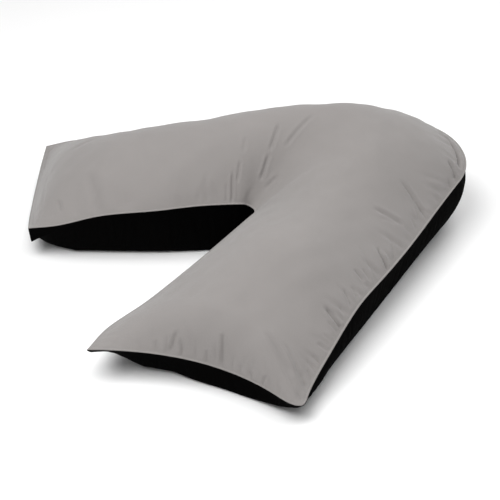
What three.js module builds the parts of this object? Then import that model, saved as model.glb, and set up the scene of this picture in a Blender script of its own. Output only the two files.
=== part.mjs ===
// V-shaped pillow: two V-shaped cotton panels, taupe-grey above and black below, sewn edge to edge and
// stuffed. It lies on its black side, plump at the bend and thinner at the ends. Millimetres, +Z up; the
// bend points to +Y and the V opens to -Y. The stuffed body is made as two filled halves, which meet at
// the seam.
import * as THREE from "three";

// Plan of the seam: two straight arms of one width, joined by a round bend outside and a tight notch inside.
// lean is the angle between an arm and the middle of the V, and inner is the arm's length from the notch's
// sharp point to its end edge. bow is how far the stuffing draws the middle of the end edge in, skew how far
// the inner corner reaches past it and the outer corner falls short of it, and sag how far its middle hangs
// below the line between its corners. round is how far the outer corner is drawn in both ways, and hang how
// far the loose cloth of the underside's inner corner hangs straight down. innerWall and outerWall are how
// full the underside's end wall is in its inner and its outer part. The underside thins to nothing at the
// corners over the lengths innerPinch and outerPinch.
const NEAR_ARM = {
  side: 1,
  lean: 31,
  inner: 352,
  bow: 43,
  skew: 31,
  sag: 1,
  round: 15,
  hang: 6,
  innerWall: 4,
  outerWall: 10,
  innerPinch: 60,
  outerPinch: 110,
};
const FAR_ARM = {
  side: -1,
  lean: 29,
  inner: 355,
  bow: -11,
  skew: -9,
  sag: 33,
  round: 1,
  hang: 28,
  innerWall: 5,
  outerWall: 5,
  innerPinch: 75,
  outerPinch: 90,
};
const ARM_WIDTH = 246;
const BEND_RADIUS = 116;
const NOTCH_RADIUS = 9;
const END_SHAPE_REACH = 250; // the bow and the skew fade out over this length of arm
const END_SAG_REACH = 150;
const CORNER_REACH = 45; // the outer corners are rounded over this length
const HANG_ALONG = 120; // the hanging cloth of an inner corner reaches so far along the arm
const HANG_ACROSS = 90; // and so far across it
const HANG_FOLD = 6; // and it turns down within this distance of the seam
const WALL_TURN = [0.3, 0.5]; // across the pillow, where the end wall goes from inner to outer fullness

// Sections along the middle line, from the near arm's end edge (0) to the far arm's end edge (1).
// innerOut, outerOut: how far the seam lies outside the straight plan, more where the stuffing is thin.
// innerUp, outerUp: the seam's height above the floor. crown, belly: the cloth's swell above and below the
// seam, where a belly that would reach below the floor lies flat on it instead. bulge: how far the wall
// stands out past the outer seam at half its height.
const SECTION_COLUMNS = ["along", "innerOut", "outerOut", "innerUp", "outerUp", "crown", "belly", "bulge"];
const SECTIONS = [
  [0.0, 28, 35, 57, 35, 65, 62, 8],
  [0.06, 46, 19, 42, 38, 67, 58, 12],
  [0.14, 37, 14, 40, 58, 71, 103, 7],
  [0.25, 16, 8, 59, 79, 76, 147, 6],
  [0.38, -4, 4, 82, 80, 66, 122, 0],
  [0.53, -12, -8, 86, 116, 90, 111, 20],
  [0.68, 9, -20, 100, 91, 83, 135, 3],
  [0.78, 26, -9, 97, 74, 75, 116, 1],
  [0.87, 29, 1, 88, 60, 66, 104, 0],
  [0.945, 26, 13, 67, 53, 58, 79, 0],
  [1.0, 18, 19, 55, 37, 58, 68, 0],
].map((row) => Object.fromEntries(SECTION_COLUMNS.map((column, k) => [column, row[k]])));

// How full the cloth's curve is from the seam to the middle: 2 is a flat curve, and more is fuller.
const CROWN_FULLNESS = 1.9;
const BELLY_FULLNESS = 7;
const CROWN_END_FULLNESS = 3;
const END_TAPER = 85; // the stuffing thins to nothing over this length at each end
const FLOOR_SOFTNESS = 12; // the belly rounds into its flat resting patch over about this height

// Main creases in the top panel, soft troughs where the seam gathers the cloth. Each runs from one place to
// another, given along the pillow and across it, 0 at the inner seam and 1 at the outer one.
const CREASES = [
  { from: [0.024, 0.34], to: [0.007, 0.34], halfWidth: 8, depth: 3 },
  { from: [0.036, 0.55], to: [0.005, 0.57], halfWidth: 9, depth: 4 },
  { from: [0.016, 0.78], to: [0.003, 0.78], halfWidth: 8, depth: 3 },
  { from: [0.078, 0.74], to: [0.049, 0.9], halfWidth: 12, depth: 4 },
  { from: [0.133, 0.93], to: [0.141, 0.985], halfWidth: 9, depth: 3 },
  { from: [0.19, 0.9], to: [0.188, 0.985], halfWidth: 9, depth: 6 },
  { from: [0.24, 0.91], to: [0.23, 0.96], halfWidth: 9, depth: 3 },
  { from: [0.284, 0.88], to: [0.284, 0.93], halfWidth: 9, depth: 4 },
  { from: [0.354, 0.88], to: [0.342, 0.985], halfWidth: 9, depth: 5 },
  { from: [0.391, 0.74], to: [0.396, 0.9], halfWidth: 10, depth: 4 },
  { from: [0.435, 0.76], to: [0.419, 0.98], halfWidth: 10, depth: 5 },
  { from: [0.469, 0.91], to: [0.458, 0.98], halfWidth: 10, depth: 5 },
  { from: [0.504, 0.93], to: [0.468, 0.97], halfWidth: 9, depth: 8 },
  { from: [0.544, 0.48], to: [0.544, 0.26], halfWidth: 12, depth: 4 },
  { from: [0.578, 0.4], to: [0.557, 0.11], halfWidth: 9, depth: 5 },
  { from: [0.651, 0.2], to: [0.654, 0.11], halfWidth: 9, depth: 4 },
  { from: [0.667, 0.15], to: [0.664, 0.03], halfWidth: 9, depth: 6 },
  { from: [0.896, 0.28], to: [0.87, 0.02], halfWidth: 14, depth: 5 },
  { from: [0.945, 0.17], to: [0.94, 0.07], halfWidth: 10, depth: 3 },
];
const CREASE_SEAM_FADE = 10; // a crease dies out where the cloth stands less than this above the seam

// Mesh: ribs along the near arm, round the bend and along the far arm, and steps across each rib.
const NEAR_ARM_RIBS = 32;
const BEND_RIBS = 44;
const FAR_ARM_RIBS = 30;
const STEPS_ACROSS = 24;
const STEPS_PER_INNER_STEP = 4; // the face between the halves has one step for so many of the outer skin's
const HALF_GAP = 0.15; // half of the gap that keeps the two halves apart

const TOP_CLOTH = { color: 0xa8a39e, roughness: 0.85, metalness: 0 };
const UNDERSIDE_CLOTH = { color: 0x0b0b0c, roughness: 0.85, metalness: 0 };

const radians = THREE.MathUtils.degToRad;
const lerp = THREE.MathUtils.lerp;

// Smooth value of one column of the sections at a place along the pillow.
function sectionValue(column, along) {
  const last = SECTIONS.length - 1;
  let i = SECTIONS.findIndex((row) => row.along > along) - 1;
  if (i < 0) i = last - 1;
  const slope = (k) => {
    const a = SECTIONS[Math.max(k - 1, 0)];
    const b = SECTIONS[Math.min(k + 1, last)];
    return (b[column] - a[column]) / (b.along - a.along);
  };
  const span = SECTIONS[i + 1].along - SECTIONS[i].along;
  const t = (along - SECTIONS[i].along) / span;
  const start = SECTIONS[i][column];
  const end = SECTIONS[i + 1][column];
  return (
    (2 * t ** 3 - 3 * t ** 2 + 1) * start +
    (t ** 3 - 2 * t ** 2 + t) * span * slope(i) +
    (-2 * t ** 3 + 3 * t ** 2) * end +
    (t ** 3 - t ** 2) * span * slope(i + 1)
  );
}

// An arm's direction away from the bend, and the direction across it from the inner seam to the outer one.
function armAxes({ side, lean }) {
  const angle = radians(lean);
  return {
    away: new THREE.Vector2(side * Math.sin(angle), -Math.cos(angle)),
    across: new THREE.Vector2(side * Math.cos(angle), Math.sin(angle)),
  };
}

const near = armAxes(NEAR_ARM);
const far = armAxes(FAR_ARM);
const halfOpening = radians(NEAR_ARM.lean + FAR_ARM.lean) / 2;
const bendStart = radians(NEAR_ARM.lean);
const bendEnd = Math.PI - radians(FAR_ARM.lean);

// The notch's arc is centred in the open V, and the bend's outer arc inside the pillow.
const notchToTangent = NOTCH_RADIUS / Math.tan(halfOpening);
const middleOfOpening = near.away.clone().add(far.away).normalize();
const notchCentre = middleOfOpening.multiplyScalar(NOTCH_RADIUS / Math.sin(halfOpening));
const bendCentre = (() => {
  const reach = ARM_WIDTH - BEND_RADIUS;
  const det = near.across.x * far.across.y - near.across.y * far.across.x;
  return new THREE.Vector2(
    (reach * (far.across.y - near.across.y)) / det,
    (reach * (near.across.x - far.across.x)) / det,
  );
})();

const nearLength = NEAR_ARM.inner - notchToTangent;
const bendLength = (bendEnd - bendStart) * (ARM_WIDTH / 2 + NOTCH_RADIUS);
const farLength = FAR_ARM.inner - notchToTangent;
const wholeLength = nearLength + bendLength + farLength;

// Distance from the notch's centre to the straight plan's outer line, in a direction round the bend.
function bendReach(direction) {
  const offset = notchCentre.clone().sub(bendCentre);
  const b = offset.dot(direction);
  const discriminant = b * b - offset.lengthSq() + BEND_RADIUS ** 2;
  if (discriminant > 0) {
    const reach = -b + Math.sqrt(discriminant);
    const hit = offset.addScaledVector(direction, reach);
    const angle = Math.atan2(hit.y, hit.x);
    if (angle >= bendStart && angle <= bendEnd) return reach;
  }
  const toLine = (axes) => (ARM_WIDTH - axes.across.dot(notchCentre)) / axes.across.dot(direction);
  const reaches = [near, far].map(toLine).filter((reach) => reach > 0);
  return Math.min(...reaches);
}

// One rib of the plan: its inner and outer seam points, and the direction from the first to the second.
function rib(along) {
  const distance = along * wholeLength;
  const innerOut = sectionValue("innerOut", along);
  const outerOut = sectionValue("outerOut", along);
  let inner;
  let outer;
  if (distance <= nearLength) {
    inner = near.away.clone().multiplyScalar(NEAR_ARM.inner - distance);
    outer = inner.clone().addScaledVector(near.across, ARM_WIDTH + outerOut);
    inner.addScaledVector(near.across, -innerOut);
  } else if (distance < nearLength + bendLength) {
    const turn = (distance - nearLength) / bendLength;
    const angle = lerp(bendStart, bendEnd, turn);
    const direction = new THREE.Vector2(Math.cos(angle), Math.sin(angle));
    inner = notchCentre.clone().addScaledVector(direction, NOTCH_RADIUS - innerOut);
    outer = notchCentre.clone().addScaledVector(direction, bendReach(direction) + outerOut);
  } else {
    const fromNotch = notchToTangent + distance - nearLength - bendLength;
    inner = far.away.clone().multiplyScalar(fromNotch);
    outer = inner.clone().addScaledVector(far.across, ARM_WIDTH + outerOut);
    inner.addScaledVector(far.across, -innerOut);
  }
  return { inner, outer, outward: outer.clone().sub(inner).normalize() };
}

// How much a rib feels an arm's end edge: 1 at the edge and 0 a reach away from it.
const endShare = (distance, reach) => Math.max(1 - distance / reach, 0) ** 2;

// A place in plan, with the bow and skew of the end edges.
function planPoint(along, across) {
  const { inner, outer } = rib(along);
  const point = inner.clone().lerp(outer, across);
  const arch = 4 * across * (1 - across);
  const ends = [
    { arm: NEAR_ARM, axes: near, distance: along * wholeLength },
    { arm: FAR_ARM, axes: far, distance: (1 - along) * wholeLength },
  ];
  for (const { arm, axes, distance } of ends) {
    const reach = arm.skew * (1 - 2 * across) - arm.bow * arch;
    point.addScaledVector(axes.away, reach * endShare(distance, END_SHAPE_REACH));
    const width = inner.distanceTo(outer);
    const corner = endShare((1 - across) * width, CORNER_REACH) * endShare(distance, CORNER_REACH);
    point.addScaledVector(axes.away, -arm.round * corner);
    point.addScaledVector(axes.across, -arm.round * corner);
  }
  return point;
}

// Height of the surface in which the two halves meet, and the crown and the belly above and below it.
function heights(along, across) {
  const { inner, outer } = rib(along);
  const arch = 4 * across * (1 - across);
  const ends = [
    { arm: NEAR_ARM, distance: along * wholeLength },
    { arm: FAR_ARM, distance: (1 - along) * wholeLength },
  ];
  const toEnd = Math.min(ends[0].distance, ends[1].distance);
  const width = inner.distanceTo(outer);
  const toInnerSeam = across * width;
  const toSideSeam = Math.min(across, 1 - across) * width;
  const filledEnd = (fullness) => 1 - (1 - Math.min(toEnd / END_TAPER, 1)) ** fullness;
  const toMiddle = 1 - Math.abs(1 - 2 * across);
  const turnedDown = Math.min(Math.min(toEnd, toInnerSeam) / HANG_FOLD, 1);
  const { innerWall, outerWall, innerPinch, outerPinch } = along < 0.5 ? NEAR_ARM : FAR_ARM;
  const wall = lerp(innerWall, outerWall, THREE.MathUtils.smoothstep(across, ...WALL_TURN));
  const pinchReach = across < 0.5 ? innerPinch : outerPinch;
  const pinch = 1 - Math.max(1 - toEnd / pinchReach, 0) * Math.max(1 - toSideSeam / pinchReach, 0);
  let seam = lerp(sectionValue("innerUp", along), sectionValue("outerUp", along), across);
  let hang = 0;
  for (const { arm, distance } of ends) {
    seam -= arm.sag * endShare(distance, END_SAG_REACH) * arch;
    hang += arm.hang * endShare(distance, HANG_ALONG) * endShare(toInnerSeam, HANG_ACROSS) * turnedDown;
  }
  const crownShare = filledEnd(CROWN_END_FULLNESS) * (1 - (1 - toMiddle) ** CROWN_FULLNESS);
  const crown = sectionValue("crown", along) * crownShare;
  const bellyShare = filledEnd(wall) * (1 - (1 - toMiddle) ** BELLY_FULLNESS);
  const belly = sectionValue("belly", along) * bellyShare * pinch;
  return { seam, crown, belly: belly + hang };
}

// The belly lies flat on the floor where it would sink below it, with a soft turn at the patch's edge.
function onFloor(height) {
  if (height <= -FLOOR_SOFTNESS) return 0;
  if (height < FLOOR_SOFTNESS) return (height + FLOOR_SOFTNESS) ** 2 / (4 * FLOOR_SOFTNESS);
  return height;
}

// The underside's point at a place: on the outer side its wall bulges out between the seam and the floor.
function undersidePoint(along, across, plan, seam, belly) {
  const height = Math.min(seam, onFloor(seam - belly));
  if (across <= 0.5) return [plan.x, plan.y, height];
  const out = sectionValue("bulge", along) * Math.sin((Math.PI * (seam - height)) / seam);
  const point = plan.clone().addScaledVector(rib(along).outward, out);
  return [point.x, point.y, height];
}

const creaseLines = CREASES.map(({ from, to, halfWidth, depth }) => ({
  start: planPoint(...from),
  end: planPoint(...to),
  halfWidth,
  depth,
}));

// Depth of all the creases at a place in plan.
function creaseDepth(point) {
  let total = 0;
  for (const { start, end, halfWidth, depth } of creaseLines) {
    const line = end.clone().sub(start);
    const share = THREE.MathUtils.clamp(point.clone().sub(start).dot(line) / line.lengthSq(), 0, 1);
    const distance = point.distanceTo(start.clone().addScaledVector(line, share));
    total += depth * Math.exp(-((distance / halfWidth) ** 2));
  }
  return total;
}

// Ribs evenly spaced in each of the three stretches, with one more close to each end edge, and steps across
// that crowd towards the seams.
const stretch = (from, to, count) => Array.from({ length: count }, (_, k) => lerp(from, to, k / count));
const nearShare = nearLength / wholeLength;
const farShare = 1 - farLength / wholeLength;
const foldShare = HANG_FOLD / wholeLength;
const RIBS = [
  0,
  ...stretch(foldShare, nearShare, NEAR_ARM_RIBS),
  ...stretch(nearShare, farShare, BEND_RIBS),
  ...stretch(farShare, 1 - foldShare, FAR_ARM_RIBS),
  1 - foldShare,
  1,
];
const STEPS = Array.from(
  { length: STEPS_ACROSS + 1 },
  (_, k) => (1 - Math.cos((Math.PI * k) / STEPS_ACROSS)) / 2,
);

// One filled half. upward is 1 for the half above the seam and -1 for the half below it. Its outer skin and
// the face towards the other half share the points of the seam.
function filledHalf(upward) {
  const positions = [];
  const rows = RIBS.length;
  const columns = STEPS.length;
  const skin = (row, column) => row * columns + column;
  const meeting = new Map();

  RIBS.forEach((along) => {
    STEPS.forEach((across) => {
      const plan = planPoint(along, across);
      const { seam, crown, belly } = heights(along, across);
      const level = seam + upward * HALF_GAP;
      if (upward > 0) {
        const crease = creaseDepth(plan) * Math.min(crown / CREASE_SEAM_FADE, 1);
        positions.push(plan.x, plan.y, level + crown - Math.min(crease, crown / 2));
      } else {
        positions.push(...undersidePoint(along, across, plan, level, belly));
      }
    });
  });

  const onSeam = (row, column) => row === 0 || row === rows - 1 || column === 0 || column === columns - 1;
  const meetingPoint = (row, column) => {
    if (onSeam(row, column)) return skin(row, column);
    const key = skin(row, column);
    if (!meeting.has(key)) {
      const plan = planPoint(RIBS[row], STEPS[column]);
      meeting.set(key, positions.length / 3);
      positions.push(plan.x, plan.y, heights(RIBS[row], STEPS[column]).seam + upward * HALF_GAP);
    }
    return meeting.get(key);
  };

  const triangles = [];
  const triangle = (a, b, c, facing) => triangles.push(...(facing > 0 ? [a, b, c] : [a, c, b]));
  const quad = (a, b, c, d, facing) => {
    triangle(a, b, c, facing);
    triangle(a, c, d, facing);
  };

  for (let row = 0; row < rows - 1; row += 1) {
    for (let column = 0; column < columns - 1; column += 1) {
      const corners = [
        skin(row, column),
        skin(row, column + 1),
        skin(row + 1, column + 1),
        skin(row + 1, column),
      ];
      quad(...corners, upward);
    }
  }

  // The meeting face: wide steps between the end ribs, and at each end a strip fanned to every seam point.
  const wide = STEPS_PER_INNER_STEP;
  for (let column = 0; column < columns - 1; column += wide) {
    for (let row = 1; row < rows - 2; row += 1) {
      const corners = [
        meetingPoint(row, column),
        meetingPoint(row, column + wide),
        meetingPoint(row + 1, column + wide),
        meetingPoint(row + 1, column),
      ];
      quad(...corners, -upward);
    }
    const ends = [
      { seamRow: 0, nextRow: 1, facing: -upward },
      { seamRow: rows - 1, nextRow: rows - 2, facing: upward },
    ];
    for (const { seamRow, nextRow, facing } of ends) {
      const left = meetingPoint(nextRow, column);
      const right = meetingPoint(nextRow, column + wide);
      const middle = column + wide / 2;
      for (let k = column; k < column + wide; k += 1) {
        const apex = k < middle ? left : right;
        triangle(skin(seamRow, k), skin(seamRow, k + 1), apex, facing);
      }
      triangle(skin(seamRow, middle), right, left, facing);
    }
  }

  const geometry = new THREE.BufferGeometry();
  geometry.setAttribute("position", new THREE.Float32BufferAttribute(positions, 3));
  geometry.setIndex(triangles);
  geometry.computeVertexNormals();
  return geometry;
}

function clothHalf(name, upward, cloth) {
  const mesh = new THREE.Mesh(filledHalf(upward), new THREE.MeshStandardMaterial(cloth));
  mesh.name = name;
  return mesh;
}

const pillow = new THREE.Group();
pillow.add(clothHalf("top_panel", 1, TOP_CLOTH));
pillow.add(clothHalf("underside_panel", -1, UNDERSIDE_CLOTH));

// The origin is under the middle of the pillow's outline.
const outline = new THREE.Box3().setFromObject(pillow);
const middle = outline.getCenter(new THREE.Vector3());
for (const half of pillow.children) half.geometry.translate(-middle.x, -middle.y, 0);

export default pillow;
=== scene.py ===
import math

import bmesh
import bpy
import numpy as np
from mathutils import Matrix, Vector


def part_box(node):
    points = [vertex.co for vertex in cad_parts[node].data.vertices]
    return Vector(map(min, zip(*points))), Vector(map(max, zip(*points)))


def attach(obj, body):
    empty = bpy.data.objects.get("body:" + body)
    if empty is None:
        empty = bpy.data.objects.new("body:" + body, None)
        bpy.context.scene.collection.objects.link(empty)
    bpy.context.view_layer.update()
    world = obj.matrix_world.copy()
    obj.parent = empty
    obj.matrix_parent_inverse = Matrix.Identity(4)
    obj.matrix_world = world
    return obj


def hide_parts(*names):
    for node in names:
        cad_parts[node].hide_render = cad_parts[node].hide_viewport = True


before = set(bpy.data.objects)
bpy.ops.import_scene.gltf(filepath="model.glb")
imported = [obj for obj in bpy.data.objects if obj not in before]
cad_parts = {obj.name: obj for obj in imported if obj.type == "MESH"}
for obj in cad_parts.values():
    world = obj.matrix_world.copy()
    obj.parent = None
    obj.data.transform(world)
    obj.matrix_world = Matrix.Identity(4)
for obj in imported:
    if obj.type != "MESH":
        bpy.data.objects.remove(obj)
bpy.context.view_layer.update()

# Camera, at the photograph's viewing angle: it stands in front of the near arm and looks down and to the
# left, over that arm towards the bend. A place is in metres in the pillow's frame, and an angle in degrees.
CAMERA_PLACE = (1.657, -0.855, 1.280)
CAMERA_HEADING = 153.11  # in plan, from +X towards +Y
CAMERA_PITCH = 34.47  # below the horizontal
CAMERA_LENS = 102.88  # millimetres
CAMERA_SENSOR = 36  # millimetres wide

heading = math.radians(CAMERA_HEADING)
pitch = math.radians(CAMERA_PITCH)
looking = Vector((
    math.cos(pitch) * math.cos(heading),
    math.cos(pitch) * math.sin(heading),
    -math.sin(pitch),
))
camera_data = bpy.data.cameras.new("camera")
camera_data.sensor_width = CAMERA_SENSOR
camera_data.lens = CAMERA_LENS
camera = bpy.data.objects.new("camera", camera_data)
camera.location = CAMERA_PLACE
camera.rotation_euler = looking.to_track_quat("-Z", "Y").to_euler()
bpy.context.scene.collection.objects.link(camera)
bpy.context.scene.camera = camera
bpy.context.scene.view_settings.view_transform = "Standard"

# Studio light: a large round soft box hangs in front of the open V, a weaker one over the right of the bend,
# and a third lights the paper behind. A white surround fills the shadows. Each box is turned to the pillow's
# middle. A place and a size are in metres, and a power in watts.
SOFT_BOXES = (
    {"place": (0.29, -0.81, 1.60), "size": 1.4, "power": 29},
    {"place": (0.35, 0.62, 1.70), "size": 1.4, "power": 10},
    {"place": (-1.10, 1.70, 1.70), "size": 1.4, "power": 15},
)
SOFT_BOX_AIM = (0.03, 0.0, 0.1)
SURROUND_COLOUR = (1, 1, 1, 1)
SURROUND_STRENGTH = 0.40

for number, soft_box in enumerate(SOFT_BOXES, 1):
    lamp_data = bpy.data.lights.new(f"soft_box_{number}", "AREA")
    lamp_data.shape = "DISK"
    lamp_data.size = soft_box["size"]
    lamp_data.energy = soft_box["power"]
    lamp = bpy.data.objects.new(f"soft_box_{number}", lamp_data)
    lamp.location = soft_box["place"]
    back = Vector(soft_box["place"]) - Vector(SOFT_BOX_AIM)
    lamp.rotation_euler = back.to_track_quat("Z", "Y").to_euler()
    bpy.context.scene.collection.objects.link(lamp)

surround = bpy.data.worlds.new("surround")
surround.use_nodes = True
surround_shader = surround.node_tree.nodes["Background"]
surround_shader.inputs["Color"].default_value = SURROUND_COLOUR
surround_shader.inputs["Strength"].default_value = SURROUND_STRENGTH
bpy.context.scene.world = surround


class Shade:
    """A socket of a material's nodes. An expression on values adds its Math nodes."""

    def __init__(self, tree, socket=None):
        self.tree = tree
        self.socket = socket

    def add(self, kind, settings, values, output=0):
        """Adds a node: its settings first, then what its sockets hold, a value or another node's output."""
        node = self.tree.nodes.new(kind)
        for name, setting in settings.items():
            setattr(node, name, setting)
        for name, value in values.items():
            if isinstance(value, Shade):
                self.tree.links.new(value.socket, node.inputs[name])
            else:
                node.inputs[name].default_value = value
        return Shade(self.tree, node.outputs[output])

    def math(self, operation, first, second):
        return self.add("ShaderNodeMath", {"operation": operation}, {0: first, 1: second})

    def __add__(self, other):
        return self.math("ADD", self, other)

    def __radd__(self, other):
        return self.math("ADD", other, self)

    def __sub__(self, other):
        return self.math("SUBTRACT", self, other)

    def __rsub__(self, other):
        return self.math("SUBTRACT", other, self)

    def __mul__(self, other):
        return self.math("MULTIPLY", self, other)

    def __rmul__(self, other):
        return self.math("MULTIPLY", other, self)

    def __abs__(self):
        return self.math("ABSOLUTE", self, 0)


def material(name):
    """A new material, and a Shade that adds nodes to it. The shader is the node called Principled BSDF."""
    made = bpy.data.materials.new(name)
    made.use_nodes = True
    return made, Shade(made.node_tree)


# Floor: plain white studio paper, wide enough that its edge shows from no side.
FLOOR_HALF_SIZE = 6
FLOOR_COLOUR = (0.92, 0.92, 0.92, 1)
FLOOR_DROP = 0.0002  # below the resting patch, so that the two faces don't flicker

floor_mesh = bpy.data.meshes.new("floor")
corners = [
    (x * FLOOR_HALF_SIZE, y * FLOOR_HALF_SIZE, -FLOOR_DROP)
    for x, y in ((-1, -1), (1, -1), (1, 1), (-1, 1))
]
floor_mesh.from_pydata(corners, [], [(0, 1, 2, 3)])
floor = bpy.data.objects.new("floor", floor_mesh)
bpy.context.scene.collection.objects.link(floor)
paper, shade = material("studio_paper")
paper_grain = shade.add("ShaderNodeTexNoise", {}, {"Scale": 900, "Detail": 2})
paper_shader = paper.node_tree.nodes["Principled BSDF"]
paper_shader.inputs["Base Color"].default_value = FLOOR_COLOUR
paper_shader.inputs["Roughness"].default_value = 0.9
paper_bump = shade.add("ShaderNodeBump", {}, {"Strength": 0.04, "Distance": 0.0002, "Height": paper_grain})
paper.node_tree.links.new(paper_bump.socket, paper_shader.inputs["Normal"])
floor.data.materials.append(paper)

# Stuffed pillow, the form that both cloth panels take. In plan it is two straight arms of one width, joined
# by a round bend outside and a tight notch inside. The stuffing thins towards the ends, whose corners lift
# off the floor. Sizes are in metres and angles in degrees.
ARM_WIDTH = 0.246
BEND_RADIUS = 0.116
NOTCH_RADIUS = 0.009
# Each arm: lean is its angle to the middle of the V, and inner its length from the notch's sharp point.
# bow is how far the middle of its end edge is drawn in, and skew how far the inner corner reaches past the
# outer one. sag is how far the middle of that edge hangs down, and round how far the outer corner is drawn
# in. hang is how far the underside's loose cloth hangs straight down at the inner corner. inner_wall and
# outer_wall are how steeply the underside drops from the inner and the outer half of the end edge, and
# inner_pinch and outer_pinch are how far from either corner the underside is pinched towards the seam.
NEAR_ARM = {
    "side": 1, "lean": 31, "inner": 0.352, "bow": 0.043, "skew": 0.031,
    "sag": 0.001, "round": 0.015, "hang": 0.006,
    "inner_wall": 4, "outer_wall": 10, "inner_pinch": 0.060, "outer_pinch": 0.110,
}
FAR_ARM = {
    "side": -1, "lean": 29, "inner": 0.355, "bow": -0.011, "skew": -0.009,
    "sag": 0.033, "round": 0.001, "hang": 0.028,
    "inner_wall": 5, "outer_wall": 5, "inner_pinch": 0.075, "outer_pinch": 0.090,
}
# How far an end's shape, its sag, a drawn-in corner and the hanging cloth reach from the end edge or corner.
END_SHAPE_REACH = 0.250
END_SAG_REACH = 0.150
CORNER_REACH = 0.045
HANG_ALONG = 0.120
HANG_ACROSS = 0.090
HANG_FOLD = 0.003  # the width beside the seam in which the hanging cloth turns down
# Sections along the pillow, from the near arm's end edge (0) to the far arm's (1): how far the seam lies
# outside the straight plan, its height above the floor, the cloth's swell above and below it, and how far
# the underside's wall stands out past the outer seam.
SECTIONS = {
    "along": (0.0, 0.06, 0.14, 0.25, 0.38, 0.53, 0.68, 0.78, 0.87, 0.945, 1.0),
    "inner_out": (0.028, 0.046, 0.037, 0.016, -0.004, -0.012, 0.009, 0.026, 0.029, 0.026, 0.018),
    "outer_out": (0.035, 0.019, 0.014, 0.008, 0.004, -0.008, -0.020, -0.009, 0.001, 0.013, 0.019),
    "inner_up": (0.057, 0.042, 0.040, 0.059, 0.082, 0.086, 0.100, 0.097, 0.088, 0.067, 0.055),
    "outer_up": (0.035, 0.038, 0.058, 0.079, 0.080, 0.116, 0.091, 0.074, 0.060, 0.053, 0.037),
    "crown": (0.065, 0.067, 0.071, 0.076, 0.066, 0.090, 0.083, 0.075, 0.066, 0.058, 0.058),
    "belly": (0.062, 0.058, 0.103, 0.147, 0.122, 0.111, 0.135, 0.116, 0.104, 0.079, 0.068),
    "bulge": (0.008, 0.012, 0.007, 0.006, 0.0, 0.020, 0.003, 0.001, 0.0, 0.0, 0.0),
}
# The greater a fullness, the steeper the cloth leaves the seam and the flatter it is between.
CROWN_FULLNESS = 1.9
CROWN_END_FULLNESS = 3
BELLY_FULLNESS = 7
WALL_TURN = (0.3, 0.5)  # across the pillow, where an end wall goes from its inner to its outer steepness
END_TAPER = 0.085  # from the end edge to where the swell is full
# The seam's edge: the two turned-in allowances keep a narrow flat lip, with a rounded rim.
LIP_WIDTH = 0.003
RIM_THICKNESS = 0.0011
# Ribs along an arm and round the bend, and steps across each rib. They stand closer at the seams.
ARM_RIBS = 150
BEND_RIBS = 200
STEPS_ACROSS = 168
EDGE_CLOSENESS = 0.75
EDGE_RIBS = 8  # the number in which they open up, away from an end edge
# Where an arm meets the bend the cloth takes the turn softly, so the ribs there are evened out.
TURN_RIBS = 45  # how many, on either side
TURN_SPREAD = 14  # over how many on either side each one is evened out


def section(column, along):
    """One column of the sections at places along the pillow, on a smooth curve through its rows."""
    place = np.array(SECTIONS["along"])
    value = np.array(SECTIONS[column])
    slope = np.empty(len(place))
    slope[1:-1] = (value[2:] - value[:-2]) / (place[2:] - place[:-2])
    slope[0] = (value[1] - value[0]) / (place[1] - place[0])
    slope[-1] = (value[-1] - value[-2]) / (place[-1] - place[-2])
    i = np.clip(np.searchsorted(place, along, side="right") - 1, 0, len(place) - 2)
    span = place[i + 1] - place[i]
    t = (along - place[i]) / span
    return (
        (2 * t**3 - 3 * t**2 + 1) * value[i]
        + (t**3 - 2 * t**2 + t) * span * slope[i]
        + (3 * t**2 - 2 * t**3) * value[i + 1]
        + (t**3 - t**2) * span * slope[i + 1]
    )


def arm_axes(arm):
    """The direction along an arm away from the bend, and the one across it from inner to outer seam."""
    lean = math.radians(arm["lean"])
    away = np.array([arm["side"] * math.sin(lean), -math.cos(lean)])
    across = np.array([arm["side"] * math.cos(lean), math.sin(lean)])
    return away, across


near_away, near_across = arm_axes(NEAR_ARM)
far_away, far_across = arm_axes(FAR_ARM)
bend_start = math.radians(NEAR_ARM["lean"])
bend_end = math.pi - math.radians(FAR_ARM["lean"])
half_opening = math.radians(NEAR_ARM["lean"] + FAR_ARM["lean"]) / 2
middle_of_opening = (near_away + far_away) / np.linalg.norm(near_away + far_away)
notch_centre = middle_of_opening * NOTCH_RADIUS / math.sin(half_opening)
notch_to_tangent = NOTCH_RADIUS / math.tan(half_opening)
bend_centre = np.linalg.solve(np.array([near_across, far_across]), np.full(2, ARM_WIDTH - BEND_RADIUS))
near_length = NEAR_ARM["inner"] - notch_to_tangent
bend_length = (bend_end - bend_start) * (ARM_WIDTH / 2 + NOTCH_RADIUS)
far_length = FAR_ARM["inner"] - notch_to_tangent
whole_length = near_length + bend_length + far_length


def bend_reach(direction, angle):
    """Distance from the notch's centre to the straight plan's outer line, in a direction round the bend."""
    offset = notch_centre - bend_centre
    along_ray = offset @ direction
    room = along_ray**2 - offset @ offset + BEND_RADIUS**2
    if room > 0:
        reach = -along_ray + math.sqrt(room)
        hit = offset + direction * reach
        if bend_start <= math.atan2(hit[1], hit[0]) <= bend_end:
            return reach
    across = near_across if angle < (bend_start + bend_end) / 2 else far_across
    return (ARM_WIDTH - notch_centre @ across) / (direction @ across)


def rib(station):
    """A rib's inner and outer points on the straight plan, and the direction across the pillow there."""
    if station <= near_length:
        inner = near_away * (NEAR_ARM["inner"] - station)
        return inner, inner + near_across * ARM_WIDTH, near_across
    if station >= near_length + bend_length:
        inner = far_away * (notch_to_tangent + station - near_length - bend_length)
        return inner, inner + far_across * ARM_WIDTH, far_across
    angle = bend_start + (bend_end - bend_start) * (station - near_length) / bend_length
    direction = np.array([math.cos(angle), math.sin(angle)])
    return (
        notch_centre + direction * NOTCH_RADIUS,
        notch_centre + direction * bend_reach(direction, angle),
        direction,
    )


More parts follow.
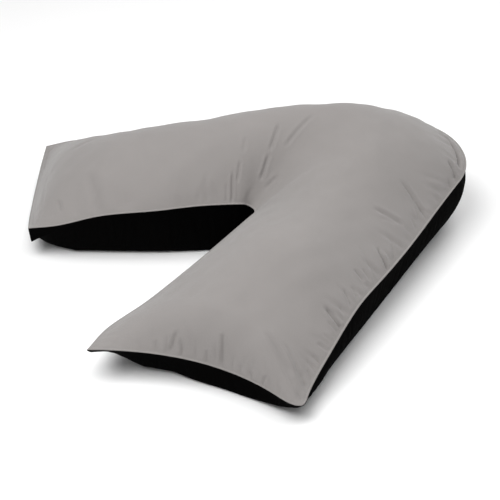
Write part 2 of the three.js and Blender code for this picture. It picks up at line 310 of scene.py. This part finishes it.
def arm_stations(ribs):
    """Stations along an arm as shares of its length, closer together at its end edge."""
    gaps = 1 - EDGE_CLOSENESS * np.exp(-np.arange(ribs) / EDGE_RIBS)
    return np.concatenate([[0], np.cumsum(gaps)]) / gaps.sum()


def fade(distance, reach):
    """Full at an edge, and nothing from reach on."""
    return np.clip(1 - distance / reach, 0, 1) ** 2


stations = np.concatenate([
    arm_stations(ARM_RIBS) * near_length,
    near_length + bend_length * np.arange(1, BEND_RIBS) / BEND_RIBS,
    whole_length - arm_stations(ARM_RIBS)[::-1] * far_length,
])
along = stations / whole_length
even = np.arange(STEPS_ACROSS + 1) / STEPS_ACROSS
across = even - EDGE_CLOSENESS * np.sin(2 * np.pi * even) / (2 * np.pi)

inner_line, outer_line, outward = (np.array(v) for v in zip(*[rib(s) for s in stations]))
inner_line = inner_line - outward * section("inner_out", along)[:, None]
outer_line = outer_line + outward * section("outer_out", along)[:, None]
plan = inner_line[:, None] + (outer_line - inner_line)[:, None] * across[None, :, None]
width = np.linalg.norm(outer_line - inner_line, axis=1)[:, None]
arch = 4 * across * (1 - across)
seam_height = (
    section("inner_up", along)[:, None] * (1 - across) + section("outer_up", along)[:, None] * across
)
for arm, to_end in ((NEAR_ARM, stations), (FAR_ARM, whole_length - stations)):
    arm_away, arm_across = arm_axes(arm)
    reach = arm["skew"] * (1 - 2 * across) - arm["bow"] * arch
    plan = plan + (fade(to_end, END_SHAPE_REACH)[:, None] * reach)[..., None] * arm_away
    corner = fade((1 - across) * width, CORNER_REACH) * fade(to_end, CORNER_REACH)[:, None]
    plan = plan - (arm["round"] * corner)[..., None] * (arm_away + arm_across)
    seam_height = seam_height - arm["sag"] * fade(to_end, END_SAG_REACH)[:, None] * arch


def eased(grid):
    """Values on the ribs, evened out along the pillow near the two places where an arm meets the bend."""
    number = np.arange(len(grid))
    near = np.minimum(abs(number - ARM_RIBS), abs(number - ARM_RIBS - BEND_RIBS))
    share = 0.5 + 0.5 * np.cos(np.pi * np.clip(near / TURN_RIBS, 0, 1))
    share = np.sqrt(share).reshape(-1, *[1] * (grid.ndim - 1))
    offsets = np.arange(-3 * TURN_SPREAD, 3 * TURN_SPREAD + 1)
    weights = np.exp(-((offsets / TURN_SPREAD) ** 2) / 2)
    weights = weights / weights.sum()
    evened = sum(np.roll(grid, k, axis=0) * weight for k, weight in zip(offsets, weights))
    return grid * (1 - share) + evened * share


plan = eased(plan)
seam_height = eased(seam_height)
cad_low, cad_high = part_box("top_panel")
cad_middle = np.array([(cad_low.x + cad_high.x) / 2, (cad_low.y + cad_high.y) / 2])
plan = plan + cad_middle - (plan.min((0, 1)) + plan.max((0, 1))) / 2

to_side = np.minimum(across, 1 - across) * width
to_end = np.broadcast_to(np.minimum(stations, whole_length - stations)[:, None], to_side.shape)
to_seam = np.minimum(to_side, to_end)
rim = RIM_THICKNESS * np.sqrt(1 - (1 - np.clip(to_seam / RIM_THICKNESS, 0, 1)) ** 2)
side_share = np.clip((to_side - LIP_WIDTH) / (width / 2 - LIP_WIDTH), 0, 1)


def swell(column, fullness, end_fullness):
    """How far the stuffing lifts the cloth off the seam's level."""
    end_share = 1 - (1 - np.clip((to_end - LIP_WIDTH) / END_TAPER, 0, 1)) ** end_fullness
    return eased(section(column, along)[:, None] * end_share * (1 - (1 - side_share) ** fullness))


# Top panel: taupe-grey plain-weave cotton, soft and matt with a faint sheen. It is cut as one V and gathered
# a little into the seam all round. The stuffing pulls it into creases at the notch, the bend and the ends.
TOP_COLOUR = (0.224, 0.210, 0.203)
# How much its lightness varies in cloudy patches and from thread to thread, and the painted shade in its
# creases.
TOP_MOTTLE = 0.10
TOP_SLUB = 0.16
TOP_CREASE_SHADE = 0.10
# Painted shade: a crease this deep is painted with its full darker tone.
FULL_SHADE_DEPTH = 0.003  # a crease so deep has its full darker tone
# The weave of both cloths, from thread to thread and in height, and how far its threads wander; and the top
# cloth's fine rumple.
WEAVE_PITCH = 0.00045
WEAVE_DEPTH = 0.00012
WEAVE_STRENGTH = 0.35
WEAVE_WANDER = 0.002
RUMPLE_DEPTH = 0.0004
RUMPLE_STRENGTH = 0.5
# Small gathers along the seam, with the least and the greatest of each measure. A lean is metres sideways
# for each metre of length, either way, and a tail the share of the length over which a gather grows.
SEED = 7
GATHER_SPACING = (0.010, 0.024)
GATHER_LENGTH = (0.020, 0.070)
GATHER_LEAN = 0.45
GATHER_HALF_WIDTH = (0.0026, 0.0050)
GATHER_DEPTH = (0.0003, 0.0011)
GATHER_TAIL = 0.7
# Its length becomes a share of the pillow: along it by so many whole lengths, and across it by so many
# metres. It ends a small share away from the seam.
GATHER_ALONG = 1.35
GATHER_ACROSS = 0.32
GATHER_GAP_ALONG = 0.004
GATHER_GAP_ACROSS = 0.016
# A crease is a trough between two soft shoulders. Its shoulders' place and width and its reach are in half
# widths. It stops short over a share of its length, and keeps a share of its depth at the very end.
SHOULDER_PLACE = 1.9
SHOULDER_WIDTH = 1.0
CREASE_REACH = 5
CREASE_STOP = 0.12
CREASE_END_DEPTH = 0.4
CREASE_POINTS = 8  # points of the line that a crease follows
SEAM_FADE = 0.006  # the width beside the seam over which creases and gathers grow
# Uneven stuffing: the length and the height of its lumps, and the width beside the seam over which they
# grow. Each kind is the sum of a number of waves, whose lengths lie between two shares of that length.
LUMPS = ((0.11, 0.0006), (0.045, 0.0003))
LUMPS_FADE = 0.012
WAVES = 14
WAVE_LENGTHS = (0.75, 1.35)
# At the far end the seam's turned-in allowance shows as a shallow line beside the edge.
HEM_REACH = 0.009
HEM_HALF_WIDTH = 0.0018
HEM_DEPTH = 0.0012
BACKING_STEP = 12  # the hidden face has one step across for so many of the skin's


def normals(surface):
    """The upward normal at each point of a grid of points."""
    normal = np.cross(np.gradient(surface, axis=1), np.gradient(surface, axis=0))
    return normal / np.linalg.norm(normal, axis=2)[..., None]


def point_at(surface, place_along, place_across):
    """The surface's point at a place along and across the pillow."""
    i = np.interp(place_along, along, np.arange(len(along)))
    j = np.interp(place_across, across, np.arange(len(across)))
    i0 = np.minimum(int(i), len(along) - 2)
    j0 = np.minimum(int(j), len(across) - 2)
    low = surface[i0, j0] * (1 - j + j0) + surface[i0, j0 + 1] * (j - j0)
    high = surface[i0 + 1, j0] * (1 - j + j0) + surface[i0 + 1, j0 + 1] * (j - j0)
    return low * (1 - i + i0) + high * (i - i0)


def press_crease(depth_map, surface, start, end, half_width, depth, shoulder=0.35, tail=0.3):
    """Presses one crease into a depth map: a trough between soft shoulders, from one place to another. It
    begins slowly over its tail share and ends quickly."""
    shares = np.linspace(0, 1, CREASE_POINTS)
    line = np.array([point_at(surface, *(np.array(start) * (1 - t) + np.array(end) * t)) for t in shares])
    margin = CREASE_REACH * half_width
    inside = np.all((surface > line.min(0) - margin) & (surface < line.max(0) + margin), axis=2)
    points = surface[inside]
    best = np.full(len(points), np.inf)
    share = np.zeros(len(points))
    for k in range(len(line) - 1):
        step = line[k + 1] - line[k]
        t = np.clip((points - line[k]) @ step / (step @ step), 0, 1)
        away = np.linalg.norm(points - line[k] - t[:, None] * step, axis=1)
        closer = away < best
        best = np.where(closer, away, best)
        share = np.where(closer, (k + t) / (len(line) - 1), share)
    x = best / half_width
    profile = -np.exp(-(x**2)) + shoulder * np.exp(-(((x - SHOULDER_PLACE) / SHOULDER_WIDTH) ** 2))
    rise = np.clip(share / tail, 0, 1)
    rise = rise * rise * (3 - 2 * rise)
    stop = np.clip((1 - share) / CREASE_STOP, 0, 1)
    stop = CREASE_END_DEPTH + (1 - CREASE_END_DEPTH) * stop
    depth_map[inside] += depth * profile * rise * stop


def waves(random, places, length):
    """Smooth unevenness of about one unit, from waves of about one length that run in all directions."""
    total = np.zeros(places.shape[:-1])
    for _ in range(WAVES):
        turn, phase = random.uniform(0, 2 * np.pi, 2)
        pace = 2 * np.pi / (length * random.uniform(*WAVE_LENGTHS))
        total += np.cos(places @ (pace * np.array([np.cos(turn), np.sin(turn)])) + phase)
    return total / math.sqrt(WAVES / 2)


def gather_seam(depth_map, surface, random, strength):
    """Presses the small gathers that a plump panel makes along its seam. They stand about square to it."""
    for side, edge in (("inner", 0), ("outer", STEPS_ACROSS), ("near", 0), ("far", len(along) - 1)):
        on_end = side in ("near", "far")
        line = surface[edge] if on_end else surface[:, edge]
        places = across if on_end else along
        arc = np.concatenate([[0], np.cumsum(np.linalg.norm(np.diff(line, axis=0), axis=1))])
        at = GATHER_SPACING[0]
        while at < arc[-1] - GATHER_SPACING[0]:
            length = random.uniform(*GATHER_LENGTH)
            lean = random.uniform(-GATHER_LEAN, GATHER_LEAN)
            seam_place = np.interp(at, arc, places)
            deep_place = np.interp(np.clip(at + lean * length, 0, arc[-1]), arc, places)
            half_width = random.uniform(*GATHER_HALF_WIDTH)
            depth = random.uniform(*GATHER_DEPTH) * strength(side, seam_place)
            if on_end:
                deep = length / (whole_length * GATHER_ALONG)
                seam = GATHER_GAP_ALONG
                ends = ((deep, deep_place), (seam, seam_place))
                if side == "far":
                    ends = ((1 - deep, deep_place), (1 - seam, seam_place))
            else:
                deep = length / GATHER_ACROSS
                seam = GATHER_GAP_ACROSS
                ends = ((deep_place, deep), (seam_place, seam))
                if side == "outer":
                    ends = ((deep_place, 1 - deep), (seam_place, 1 - seam))
            if depth > 0:
                press_crease(depth_map, surface, ends[0], ends[1], half_width, depth, tail=GATHER_TAIL)
            at += random.uniform(*GATHER_SPACING)


def flat_places(surface):
    """Each point's place on the flat cut panel, so that the weave runs straight along the cloth."""
    steps = np.linalg.norm(np.diff(surface, axis=1), axis=2)
    girth = np.concatenate([np.zeros((len(along), 1)), np.cumsum(steps, axis=1)], axis=1)
    from_middle = girth - girth[:, -1:] / 2
    middle = (inner_line + outer_line)[:, None] / 2
    rib_direction = (outer_line - inner_line) / width
    return middle + rib_direction[:, None] * from_middle[..., None]


def cloth_half(name, surface, depth_map, upwards):
    """A closed half of the pillow: the cloth skin, and a hidden face at the seam's level that backs it. How
    far each point is pressed in goes with it, for the painted shade that the top material lays in its
    creases."""
    ribs, steps = len(along), STEPS_ACROSS + 1
    index = np.arange(ribs * steps).reshape(ribs, steps)
    quads = np.stack([index[:-1, :-1], index[1:, :-1], index[1:, 1:], index[:-1, 1:]], axis=-1)
    columns = np.arange(0, steps, BACKING_STEP)
    backing = np.arange(ribs * len(columns)).reshape(ribs, len(columns)) + index.size
    backing[:, 0] = index[:, 0]
    backing[:, -1] = index[:, -1]
    backing[0] = index[0, columns]
    backing[-1] = index[-1, columns]
    faces = quads.reshape(-1, 4).tolist()
    for i in range(ribs - 1):
        for k in range(len(columns) - 1):
            first = [backing[i, k], backing[i, k + 1]]
            second = [backing[i + 1, k + 1], backing[i + 1, k]]
            if i == 0:
                first = index[0, columns[k]:columns[k + 1] + 1].tolist()
            if i == ribs - 2:
                second = index[-1, columns[k]:columns[k + 1] + 1][::-1].tolist()
            faces.append([int(point) for point in first + second])
    if not upwards:
        faces = [face[::-1] for face in faces]
    seam_level = np.dstack([plan, seam_height])[:, columns].reshape(-1, 3)
    mesh = bpy.data.meshes.new(name)
    mesh.from_pydata(np.vstack([surface.reshape(-1, 3), seam_level]).tolist(), [], faces)
    mesh.polygons.foreach_set("use_smooth", [True] * len(mesh.polygons))
    corner_points = np.empty(len(mesh.loops), dtype=np.int64)
    mesh.loops.foreach_get("vertex_index", corner_points)
    weave = mesh.uv_layers.new(name="weave")
    flat = np.vstack([flat_places(surface).reshape(-1, 2), plan[:, columns].reshape(-1, 2)])
    weave.data.foreach_set("uv", flat[corner_points].ravel())
    # How deep each point is pressed in, as a share, kept for the top material's painted shade.
    painted_crease_shade = mesh.attributes.new("painted_crease_shade", "FLOAT", "POINT")
    painted_shade = np.clip(-depth_map.ravel() / FULL_SHADE_DEPTH, 0, 1)
    painted_shade = np.concatenate([painted_shade, np.zeros(len(seam_level))])
    painted_crease_shade.data.foreach_set("value", painted_shade.astype(np.float32))
    edit = bmesh.new()
    edit.from_mesh(mesh)
    bmesh.ops.delete(edit, geom=[point for point in edit.verts if not point.link_faces], context="VERTS")
    edit.to_mesh(mesh)
    edit.free()
    mesh.update()
    piece = bpy.data.objects.new(name, mesh)
    bpy.context.scene.collection.objects.link(piece)
    return piece


def woven_bump(shade):
    """The bump of a plain weave, one thread over and one under."""
    flat = shade.add("ShaderNodeUVMap", {"uv_map": "weave"}, {})
    parts = flat.tree.nodes.new("ShaderNodeSeparateXYZ")
    flat.tree.links.new(flat.socket, parts.inputs[0])
    wander = shade.add("ShaderNodeTexNoise", {}, {"Vector": flat, "Scale": 60, "Detail": 1}) * WEAVE_WANDER
    turn = math.pi / WEAVE_PITCH
    warp = shade.math("SINE", (Shade(shade.tree, parts.outputs[0]) + wander) * turn, 0)
    weft = shade.math("COSINE", (Shade(shade.tree, parts.outputs[1]) + wander) * turn, 0)
    crossing = warp * weft
    height = shade.math("MAXIMUM", abs(warp) + crossing, abs(weft) - crossing)
    return shade.add(
        "ShaderNodeBump", {}, {"Strength": WEAVE_STRENGTH, "Distance": WEAVE_DEPTH, "Height": height}
    )


# Main creases. Each begins softly at one place along and across the pillow, given as shares, and ends more
# sharply at another. Its half width and its depth are in metres.
TOP_CREASES = (
    {"start": (0.02, 0.3), "end": (0.004, 0.3), "half_width": 0.0019, "depth": 0.0014},
    {"start": (0.024, 0.43), "end": (0.003, 0.43), "half_width": 0.002, "depth": 0.0012},
    {"start": (0.018, 0.61), "end": (0.002, 0.6), "half_width": 0.002, "depth": 0.0014},
    {"start": (0.012, 0.64), "end": (0.002, 0.65), "half_width": 0.0018, "depth": 0.0012},
    {"start": (0.016, 0.25), "end": (0.004, 0.26), "half_width": 0.0022, "depth": 0.0022},
    {"start": (0.026, 0.34), "end": (0.006, 0.32), "half_width": 0.0022, "depth": 0.0032},
    {"start": (0.02, 0.36), "end": (0.004, 0.37), "half_width": 0.0019, "depth": 0.0022},
    {"start": (0.014, 0.48), "end": (0.002, 0.48), "half_width": 0.002, "depth": 0.0022},
    {"start": (0.036, 0.55), "end": (0.004, 0.55), "half_width": 0.0022, "depth": 0.004},
    {"start": (0.03, 0.53), "end": (0.006, 0.52), "half_width": 0.002, "depth": 0.0016},
    {"start": (0.01, 0.69), "end": (0.002, 0.71), "half_width": 0.002, "depth": 0.002},
    {"start": (0.016, 0.78), "end": (0.003, 0.76), "half_width": 0.002, "depth": 0.0022},
    {"start": (0.078, 0.72), "end": (0.052, 0.9), "half_width": 0.004, "depth": 0.0015},
    {"start": (0.086, 0.82), "end": (0.065, 0.94), "half_width": 0.0036, "depth": 0.0012},
    {"start": (0.058, 0.8), "end": (0.034, 0.93), "half_width": 0.0032, "depth": 0.0008},
    {"start": (0.072, 0.93), "end": (0.062, 0.98), "half_width": 0.0026, "depth": 0.001},
    {"start": (0.098, 0.93), "end": (0.094, 0.99), "half_width": 0.0026, "depth": 0.001},
    {"start": (0.086, 0.95), "end": (0.081, 0.99), "half_width": 0.0026, "depth": 0.0016},
    {"start": (0.112, 0.94), "end": (0.112, 0.99), "half_width": 0.0024, "depth": 0.001},
    {"start": (0.133, 0.93), "end": (0.141, 0.99), "half_width": 0.0028, "depth": 0.0018},
    {"start": (0.152, 0.93), "end": (0.158, 0.98), "half_width": 0.0024, "depth": 0.001},
    {"start": (0.19, 0.88), "end": (0.188, 0.99), "half_width": 0.003, "depth": 0.004},
    {"start": (0.176, 0.92), "end": (0.177, 0.98), "half_width": 0.0024, "depth": 0.0014},
    {"start": (0.212, 0.93), "end": (0.206, 0.98), "half_width": 0.0024, "depth": 0.001},
    {"start": (0.242, 0.9), "end": (0.231, 0.97), "half_width": 0.0026, "depth": 0.0018},
    {"start": (0.258, 0.92), "end": (0.25, 0.97), "half_width": 0.0024, "depth": 0.0012},
    {"start": (0.286, 0.88), "end": (0.286, 0.94), "half_width": 0.0028, "depth": 0.0022},
    {"start": (0.3, 0.9), "end": (0.297, 0.96), "half_width": 0.0024, "depth": 0.0014},
    {"start": (0.322, 0.93), "end": (0.316, 0.98), "half_width": 0.0024, "depth": 0.001},
    {"start": (0.357, 0.88), "end": (0.343, 0.99), "half_width": 0.003, "depth": 0.0036},
    {"start": (0.372, 0.92), "end": (0.362, 0.98), "half_width": 0.0024, "depth": 0.0012},
    {"start": (0.391, 0.74), "end": (0.396, 0.9), "half_width": 0.0036, "depth": 0.0022},
    {"start": (0.386, 0.8), "end": (0.392, 0.88), "half_width": 0.0028, "depth": 0.001},
    {"start": (0.409, 0.92), "end": (0.404, 0.97), "half_width": 0.0024, "depth": 0.0016},
    {"start": (0.435, 0.76), "end": (0.419, 0.98), "half_width": 0.0032, "depth": 0.0028},
    {"start": (0.427, 0.86), "end": (0.413, 0.96), "half_width": 0.0024, "depth": 0.0012},
    {"start": (0.44, 0.92), "end": (0.438, 0.97), "half_width": 0.0024, "depth": 0.0016},
    {"start": (0.456, 0.94), "end": (0.451, 0.985), "half_width": 0.0024, "depth": 0.0016},
    {"start": (0.469, 0.9), "end": (0.458, 0.98), "half_width": 0.003, "depth": 0.0032},
    {"start": (0.504, 0.93), "end": (0.468, 0.97), "half_width": 0.004, "depth": 0.0045},
    {"start": (0.516, 0.14), "end": (0.526, 0.08), "half_width": 0.0028, "depth": 0.0012},
    {"start": (0.544, 0.48), "end": (0.544, 0.26), "half_width": 0.003, "depth": 0.0014},
    {"start": (0.578, 0.4), "end": (0.568, 0.24), "half_width": 0.003, "depth": 0.0018},
    {"start": (0.568, 0.22), "end": (0.557, 0.11), "half_width": 0.0028, "depth": 0.0019},
    {"start": (0.632, 0.33), "end": (0.634, 0.24), "half_width": 0.003, "depth": 0.0009},
    {"start": (0.637, 0.2), "end": (0.639, 0.1), "half_width": 0.0024, "depth": 0.0013},
    {"start": (0.651, 0.15), "end": (0.648, 0.02), "half_width": 0.0022, "depth": 0.0022},
    {"start": (0.664, 0.1), "end": (0.662, 0.02), "half_width": 0.0022, "depth": 0.0008},
    {"start": (0.896, 0.28), "end": (0.87, 0.01), "half_width": 0.008, "depth": 0.0016},
    {"start": (0.927, 0.53), "end": (0.896, 0.61), "half_width": 0.006, "depth": 0.001},
    {"start": (0.945, 0.16), "end": (0.94, 0.08), "half_width": 0.0036, "depth": 0.0014},
    {"start": (0.971, 0.55), "end": (0.971, 0.18), "half_width": 0.005, "depth": 0.0008},
)


def top_gather_strength(side, place):
    """Gathers are strongest along the near arm's outer seam and round the notch, and weak at the far end."""
    if side == "outer":
        return 1.3 if place < 0.5 else 0.8
    if side == "inner":
        return 0.6 if 0.48 < place < 0.72 else 0.35
    return 0.8 if side == "near" else 0.5


random = np.random.default_rng(SEED)
top_surface = np.dstack([plan, seam_height + swell("crown", CROWN_FULLNESS, CROWN_END_FULLNESS) + rim])
off_seam = np.clip((to_seam - LIP_WIDTH) / LUMPS_FADE, 0, 1)
top_depth = np.zeros(to_seam.shape)
gather_seam(top_depth, top_surface, random, top_gather_strength)
for crease in TOP_CREASES:
    press_crease(top_depth, top_surface, **crease)
top_depth = top_depth * np.clip(to_seam / SEAM_FADE, 0, 1)
hem = HEM_DEPTH * np.exp(-((to_end - HEM_REACH) / HEM_HALF_WIDTH) ** 2) * (along > 0.5)[:, None]
top_depth = top_depth - hem * np.clip((to_side - HEM_REACH) / HEM_REACH, 0, 1)
lumps = sum(height * waves(random, plan, length) for length, height in LUMPS)
top_surface = top_surface + normals(top_surface) * (top_depth + lumps * off_seam)[..., None]
top_cloth = cloth_half("top_cloth", top_surface, top_depth, True)

taupe_cotton, shade = material("taupe_cotton")
taupe_shader = taupe_cotton.node_tree.nodes["Principled BSDF"]
flat = shade.add("ShaderNodeUVMap", {"uv_map": "weave"}, {})
mottle = shade.add("ShaderNodeTexNoise", {}, {"Vector": flat, "Scale": 9, "Detail": 3, "Roughness": 0.55})
slub = shade.add("ShaderNodeTexNoise", {}, {"Vector": flat, "Scale": 700, "Detail": 2})
# Painted shade: the cloth is painted darker where creases, gathers and the hem line press it in.
painted_crease_shade = shade.add("ShaderNodeAttribute", {"attribute_name": "painted_crease_shade"}, {}, output=2)
lightness = 1 + (mottle - 0.5) * TOP_MOTTLE + (slub - 0.5) * TOP_SLUB - painted_crease_shade * TOP_CREASE_SHADE
white_share = shade.add("ShaderNodeCombineXYZ", {}, {0: lightness, 1: lightness, 2: lightness})
taupe = shade.add("ShaderNodeVectorMath", {"operation": "MULTIPLY"}, {0: white_share, 1: TOP_COLOUR})
taupe_cotton.node_tree.links.new(taupe.socket, taupe_shader.inputs["Base Color"])
taupe_shader.inputs["Roughness"].default_value = 0.82
taupe_shader.inputs["Sheen Weight"].default_value = 0.25
taupe_shader.inputs["Sheen Roughness"].default_value = 0.5
taupe_shader.inputs["Specular IOR Level"].default_value = 0.3
rumple = shade.add("ShaderNodeTexNoise", {}, {"Vector": flat, "Scale": 120, "Detail": 3})
rumple_bump = shade.add("ShaderNodeBump", {}, {
    "Strength": RUMPLE_STRENGTH,
    "Distance": RUMPLE_DEPTH,
    "Height": rumple,
    "Normal": woven_bump(shade),
})
taupe_cotton.node_tree.links.new(rumple_bump.socket, taupe_shader.inputs["Normal"])
top_cloth.data.materials.append(taupe_cotton)
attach(top_cloth, "root")
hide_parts("top_panel")

# Underside panel: black plain-weave cotton, the top panel's mirror, sewn to it edge to edge. Its walls stand
# steeply under the seam and round into the flat patch on which the pillow lies.
UNDERSIDE_COLOUR = (0.0014, 0.0013, 0.0013)
UNDERSIDE_MOTTLE = 0.3
UNDERSIDE_LINT = 0.5
UNDERSIDE_GATHERS = 0.8
FLOOR_SOFTNESS = 0.012  # above and below the floor, where the wall turns into the resting patch
GATHERS_CLEAR = 0.015  # the height above the floor from which its gathers have their full depth


def on_floor(height):
    """A height that would reach below the floor lies on it, with a soft turn."""
    soft = (height + FLOOR_SOFTNESS) ** 2 / (4 * FLOOR_SOFTNESS)
    return np.where(height <= -FLOOR_SOFTNESS, 0, np.where(height < FLOOR_SOFTNESS, soft, height))


hang = np.zeros(to_seam.shape)
for arm, to_edge in ((NEAR_ARM, stations), (FAR_ARM, whole_length - stations)):
    hang += arm["hang"] * fade(to_edge, HANG_ALONG)[:, None] * fade(across * width, HANG_ACROSS)
hang *= np.clip(to_seam / HANG_FOLD, 0, 1)
turn = np.clip((across - WALL_TURN[0]) / (WALL_TURN[1] - WALL_TURN[0]), 0, 1)
turn = turn**2 * (3 - 2 * turn)
belly = np.zeros(to_seam.shape)
for arm, on_arm in ((NEAR_ARM, along < 0.5), (FAR_ARM, along >= 0.5)):
    wall = arm["inner_wall"] * (1 - turn) + arm["outer_wall"] * turn
    reach = np.where(across < 0.5, arm["inner_pinch"], arm["outer_pinch"])
    pinch = 1 - np.clip(1 - to_end / reach, 0, 1) * np.clip(1 - to_side / reach, 0, 1)
    belly += on_arm[:, None] * pinch * swell("belly", BELLY_FULLNESS, wall)
under_height = np.minimum(on_floor(seam_height - belly - rim - hang), seam_height)
down_wall = (seam_height - under_height) / seam_height
stand_out = section("bulge", along)[:, None] * np.where(across > 0.5, np.sin(np.pi * down_wall), 0)
under_surface = np.dstack([plan + stand_out[..., None] * outward[:, None], under_height])
under_depth = np.zeros(to_seam.shape)
gather_seam(under_depth, under_surface, random, lambda side, place: UNDERSIDE_GATHERS)
off_floor = np.clip(under_height / GATHERS_CLEAR, 0, 1)
under_depth = under_depth * np.clip(to_seam / SEAM_FADE, 0, 1) * off_floor
under_surface = under_surface - normals(under_surface) * under_depth[..., None]
under_cloth = cloth_half("underside_cloth", under_surface, under_depth, False)

black_cotton, shade = material("black_cotton")
black_shader = black_cotton.node_tree.nodes["Principled BSDF"]
flat = shade.add("ShaderNodeUVMap", {"uv_map": "weave"}, {})
mottle = shade.add("ShaderNodeTexNoise", {}, {"Vector": flat, "Scale": 12, "Detail": 3, "Roughness": 0.55})
lint = shade.add("ShaderNodeTexNoise", {}, {"Vector": flat, "Scale": 700, "Detail": 2})
lightness = 1 + (mottle - 0.5) * UNDERSIDE_MOTTLE + (lint - 0.5) * UNDERSIDE_LINT
white_share = shade.add("ShaderNodeCombineXYZ", {}, {0: lightness, 1: lightness, 2: lightness})
black = shade.add("ShaderNodeVectorMath", {"operation": "MULTIPLY"}, {0: white_share, 1: UNDERSIDE_COLOUR})
black_cotton.node_tree.links.new(black.socket, black_shader.inputs["Base Color"])
black_shader.inputs["Roughness"].default_value = 0.9
black_shader.inputs["Specular IOR Level"].default_value = 0.01
black_cotton.node_tree.links.new(woven_bump(shade).socket, black_shader.inputs["Normal"])
under_cloth.data.materials.append(black_cotton)
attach(under_cloth, "root")
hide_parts("underside_panel")
